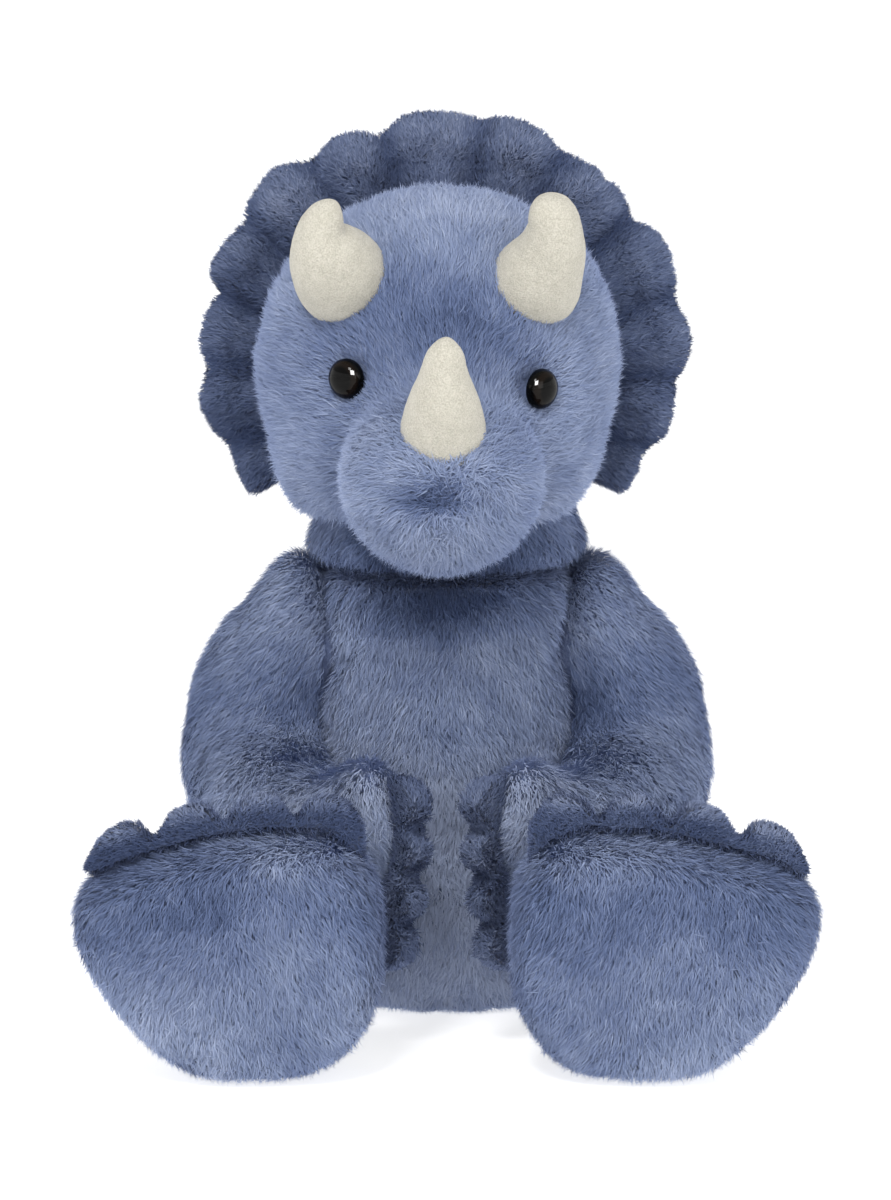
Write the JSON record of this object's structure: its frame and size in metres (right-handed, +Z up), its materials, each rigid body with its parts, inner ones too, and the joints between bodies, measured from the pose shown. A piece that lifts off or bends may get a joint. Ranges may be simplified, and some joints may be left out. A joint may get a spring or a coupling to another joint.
{
  "type": "stuffed dinosaur",
  "caption": "Seated plush three-horned dinosaur with a scalloped frill, jointed neck, arms, legs and tail, flat seat and large upright paddle feet.",
  "frame": {"origin": "on the ground plane under the middle of the seated toy", "axes": "+Z up, the toy faces -Y, its arm and leg on the viewer's right are at +X"},
  "size_m": [0.2344, 0.255, 0.3],
  "materials": {
    "blue_fur": "long blue-grey plush pile",
    "dark_plush": "short dark blue-grey plush",
    "cream_suede": "brushed cream suede cloth",
    "black_plastic": "glossy black with a dark brown iris",
    "white_plastic": "plain white moulding",
    "fibre_fill": "white polyester fibre",
    "pellet_cloth": "plain woven bag"
  },
  "bodies": {
    "torso": {"body_skin": "blue_fur", "body_stuffing": "fibre_fill", "seat_pellet_bag": "pellet_cloth"},
    "tail": {"tail_skin": "blue_fur", "tail_stuffing": "fibre_fill"},
    "neck": {"neck_skin": "blue_fur", "neck_stuffing": "fibre_fill"},
    "head": {"head_skin": "blue_fur", "head_stuffing": "fibre_fill", "frill_front": "dark_plush", "frill_padding": "fibre_fill", "frill_back": "dark_plush", "nose_horn_cover": "cream_suede", "nose_horn_stuffing": "fibre_fill", "brow_horn_left_cover": "cream_suede", "brow_horn_left_stuffing": "fibre_fill", "brow_horn_right_cover": "cream_suede", "brow_horn_right_stuffing": "fibre_fill", "eye_left": "black_plastic", "eye_left_washer": "white_plastic", "eye_right": "black_plastic", "eye_right_washer": "white_plastic"},
    "arm_left": {"arm_left_skin": "blue_fur", "arm_left_stuffing": "fibre_fill", "arm_left_claws": "dark_plush"},
    "arm_right": {"arm_right_skin": "blue_fur", "arm_right_stuffing": "fibre_fill", "arm_right_claws": "dark_plush"},
    "leg_left": {"leg_left_skin": "blue_fur", "leg_left_stuffing": "fibre_fill", "leg_left_toes": "dark_plush"},
    "leg_right": {"leg_right_skin": "blue_fur", "leg_right_stuffing": "fibre_fill", "leg_right_toes": "dark_plush"}
  },
  "joints": [
    {"name": "neck_turn", "type": "hinge", "parent": "torso", "child": "neck", "pos_m": [0, 0.004, 0.146], "axis": [0, 0, 1], "range_deg": [-30, 30], "stiffness_Nm_per_rad": 0.3},
    {"name": "head_nod", "type": "hinge", "parent": "neck", "child": "head", "pos_m": [0, 0.004, 0.158], "axis": [1, 0, 0], "range_deg": [-16, 8], "stiffness_Nm_per_rad": 0.8},
    {"name": "shoulder_left", "type": "hinge", "parent": "torso", "child": "arm_left", "pos_m": [-0.052, 0.002, 0.1165], "axis": [-1, 0, 0], "range_deg": [0, 36], "stiffness_Nm_per_rad": 0.2},
    {"name": "shoulder_right", "type": "hinge", "parent": "torso", "child": "arm_right", "pos_m": [0.052, 0.002, 0.1165], "axis": [-1, 0, 0], "range_deg": [0, 36], "stiffness_Nm_per_rad": 0.2},
    {"name": "hip_left", "type": "hinge", "parent": "torso", "child": "leg_left", "pos_m": [-0.046, -0.038, 0.025], "axis": [0, 0, -1], "range_deg": [0, 30], "stiffness_Nm_per_rad": 0.2},
    {"name": "hip_right", "type": "hinge", "parent": "torso", "child": "leg_right", "pos_m": [0.046, -0.038, 0.025], "axis": [0, 0, 1], "range_deg": [0, 30], "stiffness_Nm_per_rad": 0.2},
    {"name": "tail_wag", "type": "hinge", "parent": "torso", "child": "tail", "pos_m": [0, 0.042, 0.022], "axis": [0, 0, 1], "range_deg": [-20, 20], "stiffness_Nm_per_rad": 0.1}
  ]
}
